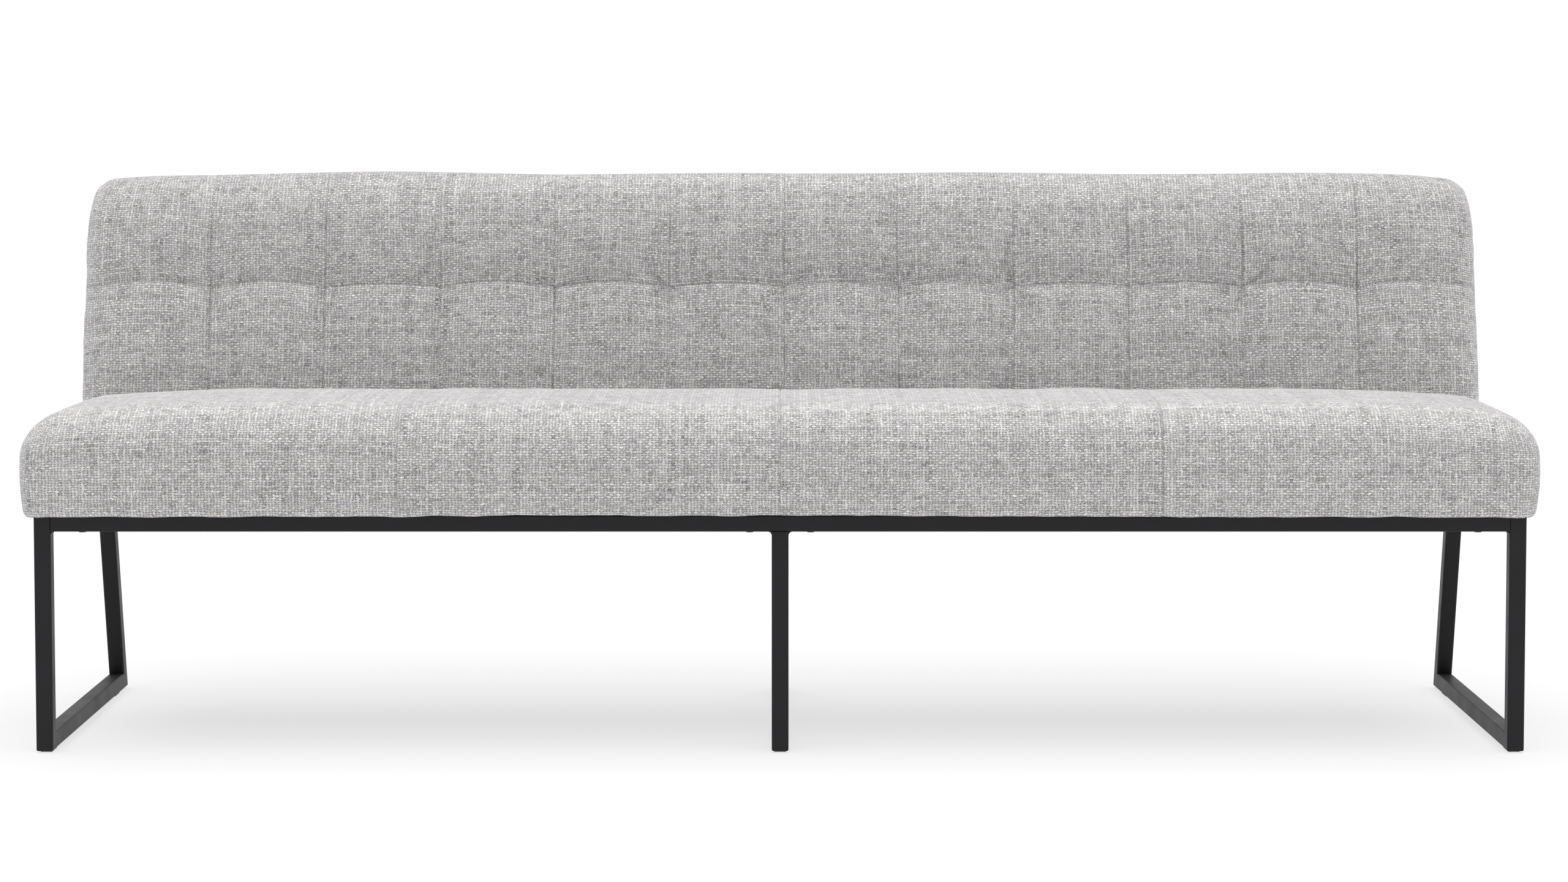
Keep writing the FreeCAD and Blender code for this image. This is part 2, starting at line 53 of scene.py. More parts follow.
# The solids that the sewn pieces stand for
SEAT_LOW, SEAT_HIGH = (np.array(c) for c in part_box("seat_cover"))
BACK_LOW, BACK_HIGH = (np.array(c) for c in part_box("back_front_cover"))
HALF = BACK_HIGH[0]
BACK_FOOT = BACK_LOW[1]
BASE_TOP = BACK_LOW[2]

# Back: a front sheet and a rear sheet that meet at a join round the top and the ends
LEAN = math.radians(11.5)
BACK_RISE = (BACK_HIGH[2] - BASE_TOP) / math.cos(LEAN) + 9.5 * MM
JOIN = 50 * MM                # from the face to the join
BACK_DEPTH = 95 * MM
TOP_CORNER = 26 * MM
FOOT_SQUARE = 8               # how square the edge at the foot is
LEVEL_REACH = 0.25            # height over which the foot's levelling fades out
FRONT_EDGES = {"top_roll": 95 * MM, "side_roll": 36 * MM, "foot_roll": 5 * MM, "square": 2, "step": 8.5 * MM}
REAR_EDGES = {"top_roll": 30 * MM, "side_roll": 24 * MM, "foot_roll": 6 * MM, "square": 4, "step": 14 * MM}
COLUMNS_TO_ARC = 16           # columns from the middle to one that is clear of seams

# Quilting of the back's front
CHANNELS = 12
CHANNEL_END = 19 * MM         # extra width of the two end panels
CHANNEL = (2 * HALF - 2 * CHANNEL_END) / CHANNELS
SEAM_SHIFT = 5.5 * MM         # the quilting sits a little to the right
SEAMS_X = [SEAM_SHIFT + k * CHANNEL for k in range(-CHANNELS // 2 + 1, CHANNELS // 2)]
TUFT = 0.321                  # from the base up the back to the tufted seam

# Depth of the quilted face behind its fullest plane. These are in millimetres.
CROSS_ABOVE = 78              # reach of the cross seam's groove above the seam
CROSS_BELOW = 110
CROSS_DEPTH = 6.4
CROSS_TUFT_DEPTH = 4.6        # added beside a tuft
CROSS_FADE = 34
SIDE_REACH = 90               # of an upright seam's groove
SIDE_DEPTH = 3.2
SIDE_TUFT_DEPTH = 4.2
SIDE_FADE = 55.0
TUFT_DEPTH = 7.5
TUFT_FADE = 22.0
CREASE_FADE = 30.0
DEEPEST = 12.6
DEPTH_SCALE = 11.5
STITCH = 1.1                  # half the width of a sewn line
FOOT_DEPTH = 2.0              # how far the face falls back toward its foot

# Seat
SEAT_PANEL = 2 * HALF / 4
PANEL_SEAMS = [-SEAT_PANEL, 0.0, SEAT_PANEL]
SEAT_EDGE = 74 * MM           # radius of the front edge and of the end edges
SEAT_REAR_EDGE = 20 * MM
SEAT_GRID = 11 * MM
SKIRT_GRID = 9 * MM
HEM = 11 * MM                 # height of the skirt's foot, which turns under
HEM_TURN = 9 * MM

# Floor, as seen and as it lights the bench
FLOOR_GLOW = 0.72
FLOOR_SHOWN = 0.225
FLOOR_WHITE = 0.93


# Mesh helpers
def spaced(start, end, step):
    """Even positions from start to end, about a step apart."""
    count = max(1, int(round(abs(end - start) / step)))
    return list(np.linspace(start, end, count + 1))


def gridline(start, end, step, marks=(), near=(0, 0.9, 2.2, 4.2, 7.5, 12.5)):
    """Positions from start to end, closer together beside each mark."""
    stops = [start] + sorted(m for m in marks if start < m < end) + [end]
    out = []
    for a, b in zip(stops, stops[1:]):
        left = [a + d * MM for d in near] if a in marks else [a]
        right = [b - d * MM for d in near][::-1] if b in marks else [b]
        middle = spaced(left[-1], right[0], step)[1:-1]
        out += left + middle + right[:-1]
    out.append(end)
    return np.array(out)


def mesh_object(name, verts, faces, uvs):
    """A smooth mesh with the cloth's flat places, in metres, as its UV map."""
    me = bpy.data.meshes.new(name)
    me.from_pydata([tuple(v) for v in verts], [], faces)
    layer = me.uv_layers.new(name="cloth")
    layer.data.foreach_set("uv", np.asarray(uvs, np.float32).ravel())
    me.polygons.foreach_set("use_smooth", [True] * len(me.polygons))
    ob = bpy.data.objects.new(name, me)
    scene.collection.objects.link(ob)
    me.update()
    return ob


def mark(ob, name, values):
    """Keeps a number per point for the material, such as the painted shade along a seam."""
    layer = ob.data.attributes.new(name, "FLOAT", "POINT")
    layer.data.foreach_set("value", np.asarray(values, np.float32).ravel())


def coords(me):
    out = np.zeros(len(me.vertices) * 3)
    me.vertices.foreach_get("co", out)
    return out.reshape(-1, 3)


def set_coords(me, co):
    me.vertices.foreach_set("co", np.ascontiguousarray(co).ravel())
    me.update()


def normals(me):
    out = np.zeros(len(me.vertices) * 3)
    me.vertex_normals.foreach_get("vector", out)
    return out.reshape(-1, 3)


def smooth_noise(points, seed, scale):
    """A gentle value from -1 to 1 that varies over the given length."""
    rng = np.random.default_rng(seed)
    total = np.zeros(len(points))
    for _ in range(7):
        way = rng.normal(size=points.shape[1])
        way *= rng.uniform(0.6, 1.5) / (np.linalg.norm(way) * scale)
        total += np.sin(2 * math.pi * (points @ way + rng.uniform()))
    return total / 3.7


def sheet_noise(x, s, seed, scale):
    """The same noise over a sheet, by place across and up."""
    return smooth_noise(np.stack([x.ravel(), s.ravel()], -1), seed, scale).reshape(x.shape)


def peak(distance, width):
    """1 at no distance, falling smoothly to 0 beyond the width."""
    return np.exp(-((distance / width) ** 2))


def puff(ob, pinned, pressure, cap, frames=16, grow=0.006):
    """Lets the cover swell between its pinned seams, with its movement capped."""
    me = ob.data
    start = coords(me)
    group = ob.vertex_groups.new(name="pin")
    group.add([int(i) for i in np.flatnonzero(pinned)], 1.0, "REPLACE")
    cloth = ob.modifiers.new("cloth", "CLOTH")
    s = cloth.settings
    s.quality = 6
    s.mass = 0.3
    s.tension_stiffness = 20
    s.compression_stiffness = 20
    s.shear_stiffness = 8
    s.bending_stiffness = 0.6
    s.tension_damping = 12
    s.compression_damping = 12
    s.air_damping = 2
    s.use_pressure = True
    s.uniform_pressure_force = pressure
    s.shrink_min = -grow
    s.vertex_group_mass = group.name
    s.effector_weights.gravity = 0
    cloth.collision_settings.use_collision = False
    cloth.collision_settings.use_self_collision = False
    cloth.point_cache.frame_start = 1
    cloth.point_cache.frame_end = frames
    for f in range(1, frames + 1):
        scene.frame_set(f)
    shown = ob.evaluated_get(bpy.context.evaluated_depsgraph_get())
    move = coords(shown.data) - start
    ob.modifiers.remove(cloth)
    ob.vertex_groups.remove(group)
    scene.frame_set(1)
    move[~np.isfinite(move).all(axis=1)] = 0
    length = np.linalg.norm(move, axis=1, keepdims=True)
    move *= cap * np.tanh(length / cap) / np.maximum(length, 1e-9)
    set_coords(me, start + move)


def subdivided(ob):
    """Applies one level of subdivision."""
    mod = ob.modifiers.new("subdivision", "SUBSURF")
    mod.levels = mod.render_levels = 1
    mod.boundary_smooth = "ALL"
    mod.uv_smooth = "NONE"
    shown = ob.evaluated_get(bpy.context.evaluated_depsgraph_get())
    fine = bpy.data.meshes.new_from_object(shown)
    ob.modifiers.clear()
    old = ob.data
    ob.data = fine
    fine.name = ob.name
    bpy.data.meshes.remove(old)
    fine.polygons.foreach_set("use_smooth", [True] * len(fine.polygons))


def closed(ob, rings=()):
    """Closes the open rim: rings are functions that move the rim's points inwards in turn."""
    bm = bmesh.new()
    bm.from_mesh(ob.data)
    bmesh.ops.remove_doubles(bm, verts=bm.verts, dist=2e-6)
    rim = [e for e in bm.edges if e.is_boundary]
    for ring in rings:
        made = bmesh.ops.extrude_edge_only(bm, edges=rim)["geom"]
        rim = [e for e in made if isinstance(e, bmesh.types.BMEdge) and e.is_boundary]
        for v in {v for e in rim for v in e.verts}:
            v.co = ring(v.co)
    caps = bmesh.ops.holes_fill(bm, edges=rim, sides=0)["faces"]
    for f in caps:
        f.smooth = False
    bmesh.ops.triangulate(bm, faces=caps, quad_method="BEAUTY", ngon_method="EAR_CLIP")
    bmesh.ops.recalc_face_normals(bm, faces=bm.faces)
    bm.to_mesh(ob.data)
    bm.free()
    ob.data.update()


# The back
def leaned(x, n, s):
    """The back's own place (across, into the back, up its face) in the frame of the solids."""
    c, d = math.cos(LEAN), math.sin(LEAN)
    y = BACK_FOOT + n * c + s * d
    z = BASE_TOP - n * d + s * c
    return np.stack([x, y, z], axis=-1)


def footed(n, s):
    """Moves the foot of the back up its lean, so that the foot lies level on the base."""
    return s + n * math.tan(LEAN) * np.clip(1 - s / LEVEL_REACH, 0, 1)


def roll(t, square):
    """The share of its depth that an edge has rolled, for t from 0 at its start to 1 at the rim."""
    return 1 - np.clip(1 - t**square, 0, 1) ** (1 / square)


def back_sheet(marks_x, marks_s, top_roll, side_roll, foot_roll, square, step):
    """A grid over one face of the back. It rolls from the face to the rim at the join."""
    theta = np.linspace(0, math.pi / 2, 13)[1:]
    edge = HALF - side_roll
    inner = gridline(-edge, edge, step, marks_x)
    xs = np.r_[-edge - side_roll * np.sin(theta[::-1]), inner, edge + side_roll * np.sin(theta)]
    foot = foot_roll - foot_roll * np.sin(np.linspace(0, math.pi / 2, 5)[1:])
    body = gridline(foot_roll, BACK_RISE - top_roll, step, marks_s)
    ss = np.r_[foot[::-1], body, BACK_RISE - top_roll + top_roll * np.sin(theta)]
    x, s = np.meshgrid(xs, ss)
    tx = np.clip((abs(x) - edge) / side_roll, 0, 1)
    ts = np.clip((s - (BACK_RISE - top_roll)) / top_roll, 0, 1)
    tf = np.clip((foot_roll - s) / foot_roll, 0, 1)
    stay = (1 - roll(tx, square)) * (1 - roll(ts, square)) * (1 - roll(tf, FOOT_SQUARE))
    return xs, ss, x, s, stay


def corner_rounded(x, s, radius):
    """Rounds the two top corners of the back's outline."""
    cx = np.clip(abs(x) - (HALF - radius), 0, None) / radius
    cs = np.clip(s - (BACK_RISE - radius), 0, None) / radius
    both = np.sqrt(cx * cx + cs * cs)
    most = np.maximum(cx, cs)
    k = np.where(both > 0, most / np.maximum(both, 1e-9), 1)
    nx = np.where(cx > 0, np.sign(x) * (HALF - radius + radius * cx * k), x)
    ns = np.where(cs > 0, BACK_RISE - radius + radius * cs * k, s)
    return nx, ns


def outline_shaped(x, s):
    """The upholstered outline: sides and top draw in towards the corners, and the top is not quite straight."""
    end_band, top_band = 0.15, 0.1
    narrow_by, narrow_fade = 21.5 * MM, 0.048
    lower_by, lower_fade = 12 * MM, 0.075
    down = np.clip(BACK_RISE - s, 0, None)
    inward = np.clip(HALF - abs(x), 0, None)
    wide = np.clip((abs(x) - (HALF - end_band)) / end_band, 0, 1)
    rise = smooth_noise(x.reshape(-1, 1), 31, 0.62).reshape(x.shape) * 1.7 * MM + 1.3 * MM
    top = np.clip((s - (BACK_RISE - top_band)) / top_band, 0, 1)
    narrower = narrow_by * np.exp(-down / narrow_fade) * wide
    lower = lower_by * np.exp(-inward / lower_fade)
    return x - np.sign(x) * narrower, s - (lower - rise) * top**2


def grid_faces(rows, cols, flip=False):
    i = np.arange(rows * cols).reshape(rows, cols)
    q = np.stack([i[:-1, :-1], i[:-1, 1:], i[1:, 1:], i[1:, :-1]], axis=-1).reshape(-1, 4)
    return (q[:, ::-1] if flip else q).tolist()


def arc(values, rise):
    """Running length along a profile."""
    return np.r_[0, np.cumsum(np.hypot(np.diff(values), np.diff(rise)))]


# How each panel and tuft differs: rise of the seam, turn of the creases, pull of the tie, depth of the creases
rng = np.random.default_rng(41)
ARCH = rng.uniform(3.0, 8.5, CHANNELS) * MM
TWIST = rng.uniform(0, 2 * math.pi, CHANNELS + 1)
PULL = rng.uniform(0.75, 1.25, CHANNELS + 1)
CREASE = rng.uniform(0.6, 3.2, CHANNELS + 1)


def panel_of(x):
    return np.clip(np.floor((x - SEAM_SHIFT) / CHANNEL + CHANNELS / 2), 0, CHANNELS - 1).astype(int)


def seam_rise(x):
    """The cross seam sags at each tuft and rises between them, more in some panels than in others."""
    return ARCH[panel_of(x)] * (np.sin(math.pi * (x - SEAM_SHIFT) / CHANNEL) ** 2) ** 0.6


def front_depth(x, s):
    """How far the quilted face lies behind its fullest plane, and how much painted shade its seams, tufts and
    creases take.
    """
    v = (s - TUFT) / MM
    upper = 1 - np.clip(np.clip(v, 0, None) / CROSS_ABOVE, 0, 1)
    lower = 1 - np.clip(np.clip(-v, 0, None) / CROSS_BELOW, 0, 1)
    groove = np.where(v >= 0, 1 - np.sqrt(1 - upper**2), 1 - np.sqrt(1 - lower**2))
    nearest = np.clip(np.round((x - SEAM_SHIFT) / CHANNEL), -CHANNELS // 2 + 1, CHANNELS // 2 - 1)
    off = (x - SEAM_SHIFT - nearest * CHANNEL) / MM
    across = abs(off)
    which = (nearest + CHANNELS // 2).astype(int)
    depth = groove * (CROSS_DEPTH + CROSS_TUFT_DEPTH * np.exp(-across / CROSS_FADE))
    foot_reach = 0.19
    depth += FOOT_DEPTH * np.clip((foot_reach - s) / foot_reach, 0, 1) ** 2
    side = 1 - np.clip(across / SIDE_REACH, 0, 1)
    depth += (SIDE_DEPTH + SIDE_TUFT_DEPTH * np.exp(-abs(v) / SIDE_FADE)) * (1 - np.sqrt(1 - side**2))

    # Dimple at each tuft, with creases that run out from it
    away = np.hypot(across, v)
    depth += TUFT_DEPTH * PULL[which] * np.exp(-away / TUFT_FADE)
    turn = np.arctan2(v, off)
    crease = np.clip(np.cos(2.5 * turn + TWIST[which]), 0, 1) ** 3
    crease += np.clip(np.cos(4 * turn + 2 * TWIST[which] + 1), 0, 1) ** 3
    depth += CREASE[which] * crease * np.exp(-away / CREASE_FADE) * np.clip(away / 6, 0, 1)
    depth = DEEPEST * np.tanh(depth / DEPTH_SCALE)

    # Sewn lines, tight in some places and slack in others
    taut = np.clip(0.4 + 0.6 * sheet_noise(x, s, 51, 0.11), 0.05, 1)
    taut = np.clip(taut + 0.5 * np.exp(-away / 40), 0, 1)
    taut = taut * np.clip((BACK_RISE - s) / 0.09, 0.25, 1)
    line = peak(across, STITCH) * taut
    depth += 2.2 * line * (1 - depth / 12.7)
    cross = peak(v, STITCH) * taut
    depth += 1.4 * cross * (1 - depth / 13)
    # Painted shade: the seams, the tufts and the creases beside them are darkened in the colour
    seam_shade = np.maximum(line, 0.5 * cross)
    seam_shade = np.maximum(seam_shade, 0.8 * peak(away, 4))
    seam_shade = np.maximum(seam_shade, 0.4 * CREASE[which] * np.clip(crease - 0.4, 0, 1) * np.exp(-away / 24))
    return depth * MM, seam_shade


def make_back_front():
    """The quilted front of the back, sewn in panels that swell between their seams."""
    xs, ss, x, s, stay = back_sheet(SEAMS_X, [TUFT], **FRONT_EDGES)
    bend_above, bend_below = 0.11, 0.06
    bend = peak(s - TUFT, np.where(s > TUFT, bend_above, bend_below))
    s_bent = s + seam_rise(x) * bend
    n = JOIN * (1 - stay)
    sway = sheet_noise(0.6 * x, s, 61, 0.19)
    x_bent = x + 1.3 * MM * sway * np.clip(stay, 0, 1)
    xr, sr = outline_shaped(*corner_rounded(x_bent, s_bent, TOP_CORNER))
    at = leaned(xr, n, footed(n, sr))
    rows, cols = x.shape
    u = arc(xs, n[rows // 2]) - arc(xs, n[rows // 2])[cols // 2]
    v = arc(ss, n[:, cols // 2 - COLUMNS_TO_ARC])
    faces = grid_faces(rows, cols)

    # Each panel is cut from its own place in the cloth.
    rng = np.random.default_rng(3)
    shift = rng.uniform(0, 3, size=(2 * CHANNELS + 4, 2))
    uvs = []
    for f in faces:
        r, c = divmod(f[0], cols)
        column = np.floor((xs[c] - SEAM_SHIFT + TINY) / CHANNEL) + CHANNELS // 2
        panel = int(np.clip(column, 0, CHANNELS - 1))
        k = shift[2 * panel + (1 if ss[r] + TINY >= TUFT else 0)]
        for i in f:
            a, b = divmod(i, cols)
            uvs.append((u[b] + k[0], v[a] + k[1]))
    ob = mesh_object("back_front_cushion", at.reshape(-1, 3), faces, uvs)
    depth, seam_shade = front_depth(x, s)
    fade = np.clip((JOIN - n) / (14 * MM), 0, 1)
    co = coords(ob.data) - normals(ob.data) * (depth * fade).reshape(-1, 1)
    set_coords(ob.data, co)
    # Painted shade along the seams, at the tufts and in the creases
    mark(ob, "seam_shade", seam_shade * np.clip(fade + 0.3, 0, 1))

    on_seam = np.zeros((rows, cols), bool)
    for m in SEAMS_X:
        on_seam |= abs(x - m) < 1.0 * MM
    on_seam |= abs(s - TUFT) < 1.0 * MM
    on_seam[:5] = on_seam[-1] = True
    on_seam[:, 0] = on_seam[:, -1] = True
    on_seam |= s < 0.06
    puff(ob, on_seam.ravel(), pressure=5.0, cap=7 * MM)
    co = coords(ob.data)
    wave = sheet_noise(x, s, 5, 0.11).ravel() * 0.8 * MM
    free = np.clip(stay.ravel(), 0, 1)
    zero = np.zeros(1)
    into = leaned(zero, np.ones(1), zero)[0] - leaned(zero, zero, zero)[0]
    co += (wave * free)[:, None] * into
    set_coords(ob.data, co)
    subdivided(ob)
    closed(ob)
    return ob


def make_back_rear():
    """The plain rear of the back, in four panels with shallow seams."""
    xs, ss, x, s, stay = back_sheet(PANEL_SEAMS, [], **REAR_EDGES)
    n = JOIN + (BACK_DEPTH - JOIN) * stay
    dip = np.zeros_like(x)
    for m in PANEL_SEAMS:
        dip += 0.8 * MM * peak(x - m, 2.2 * MM)
        dip += 0.6 * MM * peak(x - m, 26 * MM)
    sag = np.sin(math.pi * np.clip(s / BACK_RISE, 0, 1)) * 0.9 * MM
    wave = sheet_noise(x, s, 9, 0.24) * 0.4 * MM
    n = n - (dip + sag + wave) * np.clip(stay, 0, 1) ** 2
    xr, sr = outline_shaped(*corner_rounded(x, s, TOP_CORNER))
    at = leaned(xr, n + 0.2 * MM, footed(n, sr))
    rows, cols = x.shape
    u = arc(xs, n[rows // 2])
    v = arc(ss, n[:, cols // 2 - COLUMNS_TO_ARC])
    faces = grid_faces(rows, cols, flip=True)
    uvs = []
    for f in faces:
        k = int((xs[f[0] % cols] + HALF) // SEAT_PANEL)
        for i in f:
            a, b = divmod(i, cols)
            uvs.append((u[b] + 0.37 * k, v[a] + 0.61 * k))
    ob = mesh_object("back_rear_cushion", at.reshape(-1, 3), faces, uvs)
    # Painted shade along the rear seams
    mark(ob, "seam_shade", sum(0.9 * peak(x - m, 1.5 * MM) for m in PANEL_SEAMS))
    subdivided(ob)
    closed(ob)
    return ob


# The seat
def seat_panel(x):
    return int(np.clip((x + HALF) // SEAT_PANEL, 0, 3))


def make_seat():
    """The seat's cover: a box of five patches, rolled over its edges and swelled between its seams."""
    low, high = SEAT_LOW, SEAT_HIGH
    radius = SEAT_EDGE
    top = high[2] + 2.0 * MM
    rear = high[1] - 2 * MM
    bend = radius * np.tan(np.linspace(0, math.pi / 4, 8)[1:])
    edge = HALF - radius
    xs = np.r_[-edge - bend[::-1], gridline(-edge, edge, SEAT_GRID, PANEL_SEAMS), edge + bend]
    front_in = low[1] + radius
    rear_in = rear - SEAT_REAR_EDGE
    ys = np.r_[
        front_in - bend[::-1],
        spaced(front_in, rear_in, SEAT_GRID),
        rear_in + SEAT_REAR_EDGE * np.sin(np.linspace(0, math.pi / 2, 7)[1:]),
    ]
    skirt = low[2] + HEM
    foot = skirt - HEM * np.sin(np.linspace(0, math.pi / 2, 5)[1:])
    zs = np.r_[foot[::-1], spaced(skirt, top - radius, SKIRT_GRID), top - radius + bend]
    nx, ny, nz = len(xs), len(ys), len(zs)

    def arc_of(t):
        return np.where(t > 0, radius * np.arctan(t / radius), 0)

    ux = np.sign(xs) * (np.minimum(abs(xs), edge) + arc_of(abs(xs) - edge))
    vy = np.where(ys < front_in, front_in - arc_of(front_in - ys), ys) - low[1]
    vz = np.minimum(zs, top - radius) + arc_of(zs - (top - radius))
    vz = vz - vz[-1]
    verts, faces, uvs = [], [], []
    index = {}

    def point(p):
        key = tuple(np.round(np.asarray(p) * 1e6).astype(int))
        if key not in index:
            index[key] = len(verts)
            verts.append(p)
        return index[key]

    def patch(rows, cols, place, uv, shift):
        for i in range(rows - 1):
            for j in range(cols - 1):
                ring = [(i, j), (i, j + 1), (i + 1, j + 1), (i + 1, j)]
                faces.append([point(place(*r)) for r in ring])
                k = shift(i, j)
                uvs.extend((uv(*r)[0] + 0.43 * k, uv(*r)[1] + 0.29 * k) for r in ring)

    def wide(i, j):
        return seat_panel(0.5 * (xs[j] + xs[j + 1]))

    def left_uv(i, j):
        return (-vy[ny - 1 - j] + 5.0, vz[i])

    patch(ny, nx, lambda i, j: (xs[j], ys[i], top), lambda i, j: (ux[j], vy[i]), wide)
    patch(nz, nx, lambda i, j: (xs[j], low[1], zs[i]), lambda i, j: (ux[j], vz[i] + vy[0]), wide)
    patch(nz, nx, lambda i, j: (-xs[j], rear, zs[i]), lambda i, j: (-ux[j], vz[i] + 3.0), lambda i, j: 4)
    patch(nz, ny, lambda i, j: (-HALF, ys[ny - 1 - j], zs[i]), left_uv, lambda i, j: 0)
    patch(nz, ny, lambda i, j: (HALF, ys[j], zs[i]), lambda i, j: (vy[j] + 7.0, vz[i]), lambda i, j: 3)
    box = np.array(verts)
    bx, by, bz = box.T

    # Edges rolled over: square in plan at the corners, round over the top.
    dx = np.clip(abs(bx) - edge, 0, None) / radius
    dy = np.clip(front_in - by, 0, None) / radius
    dz = np.clip(bz - (top - radius), 0, None) / radius
    plan = (dx**3 + dy**3) ** (1 / 3)
    round_to = np.maximum(np.sqrt(plan**2 + dz**2), 1e-9)
    rolled = (dx > 0).astype(int) + (dy > 0) + (dz > 0) >= 1
    k = np.where(rolled, 1 / round_to, 1)
    x = np.where(dx > 0, np.sign(bx) * (edge + radius * dx * k), bx)
    y = np.where(dy > 0, front_in - radius * dy * k, by)
    z = np.where(dz > 0, top - radius + radius * dz * k, bz)
    # Painted light: the seat's top is made lighter in colour, as light falls on it from above
    painted_top_light = np.clip((z - (top - 16 * MM)) / (14 * MM), 0, 1)

    # The foot of the skirt turns under.
    tuck = np.clip((skirt - bz) / HEM, 0, 1)
    inward = HEM_TURN * (1 - np.sqrt(np.clip(1 - tuck**2, 0, 1)))
    x = x - np.sign(x) * inward * (abs(bx) > HALF - TINY)
    y = y + inward * (by < low[1] + TINY)

    # Crown, with a fall to the front, the rear and the ends, and a small roll at the rear
    front_fall, front_share = 2.5 * MM, 0.42
    rear_fall, rear_share = 15 * MM, 0.45
    end_fall, end_run = 18 * MM, 0.33
    share = np.clip((z - low[2]) / (top - low[2]), 0, 1) ** 2
    depth = (y - low[1]) / (rear - low[1])
    crown = -front_fall * np.clip((front_share - depth) / front_share, 0, 1) ** 2
    crown -= rear_fall * np.clip((depth - 0.55) / rear_share, 0, 1) ** 1.7
    end = np.clip((abs(x) - (HALF - end_run)) / end_run, 0, 1)
    crown -= end_fall * end**2.2
    back_t = np.clip((by - rear_in) / SEAT_REAR_EDGE, 0, 1)
    crown -= SEAT_REAR_EDGE * 0.9 * (1 - np.sqrt(np.clip(1 - back_t**2, 0, 1)))
    z = z + crown * share

    # Ends full at mid height and drawn in toward the hem, the right end more than the left
    belly = np.sin(math.pi * np.clip((z - low[2]) / 0.13, 0, 1)) * 1.5 * MM
    x = x + np.sign(x) * belly * (dx > 0.7)
    drawn = np.where(x > 0, 4.5, 2.5) * MM
    x = x - drawn * np.sign(x) * np.clip(1 - (z - low[2]) / 0.06, 0, 1) ** 1.5 * (dx > 0.7)

    # The rear follows the back's lean.
    lean_room = (by - low[1]) / (rear - low[1])
    behind = BACK_FOOT + np.clip(z - BASE_TOP, 0, None) * math.tan(LEAN) - 1.0 * MM
    y = y + np.where(lean_room > 0.9, (behind - rear) * (lean_room - 0.9) / 0.1, 0)

    # Seams: a sewn line in a shallow valley with a slight ridge on each side
    for m in PANEL_SEAMS:
        off = (x - m) / MM
        line = -2.4 * peak(off, 1.2) + 1.3 * peak(abs(off) - 6, 5)
        line -= 1.4 * peak(off, 30)
        upward = np.clip(dz, 0, 1)
        z = z + line * MM * np.where(bz > top - TINY, 1, upward)
        y = y - line * MM * np.where(by < low[1] + TINY, 1, 0) * 0.8
    ob = mesh_object("seat_cushion", np.stack([x, y, z], -1), faces, uvs)
    # Painted shade along the seat's seams
    mark(ob, "seam_shade", sum(0.5 * peak(bx - m, 1.0 * MM) for m in PANEL_SEAMS))
    # Painted light over the seat's top
    mark(ob, "painted_top_light", painted_top_light)
    pinned = (bz < skirt + TINY) | (by > rear_in - TINY)
    for m in PANEL_SEAMS:
        pinned |= abs(bx - m) < 1.0 * MM
    puff(ob, pinned, pressure=4.0, cap=6 * MM, grow=0.003)

    # Slack in the cloth, and a hem that wanders
    co = coords(ob.data)
    nrm = normals(ob.data)
    wave = smooth_noise(co, 12, 0.17) * 1.0 * MM + smooth_noise(co, 13, 0.07) * 0.35 * MM
    free = np.clip((bz - low[2]) / 0.03, 0, 1) * (by < rear_in)
    co += nrm * (wave * free)[:, None]
    hem = (1 - np.clip((co[:, 2] - low[2]) / 0.03, 0, 1)) * (by < rear - TINY)
    along = np.stack([co[:, 0], co[:, 1]], -1)
    co[:, 2] += hem * (smooth_noise(along, 21, 0.12) * 1.1 + smooth_noise(along, 22, 0.035) * 0.5) * MM
    co[:, 2] += hem * (1.0 + 3.2 * peak(co[:, 0] + 0.15, 0.6)) * MM
    co[:, 2] -= hem * 3.0 * MM * peak(HALF - abs(co[:, 0]), 0.03)
    set_coords(ob.data, co)
    subdivided(ob)
    inner_x, inner_y = HALF - 27 * MM, low[1] + 17 * MM

    def under(p):
        return (np.clip(p[0], -inner_x, inner_x), np.clip(p[1], inner_y, BACK_FOOT - 8 * MM), p[2])

    def raised(p):
        return (p[0], p[1], BASE_TOP + 1.6 * MM)

    closed(ob, [under, raised])
    return ob


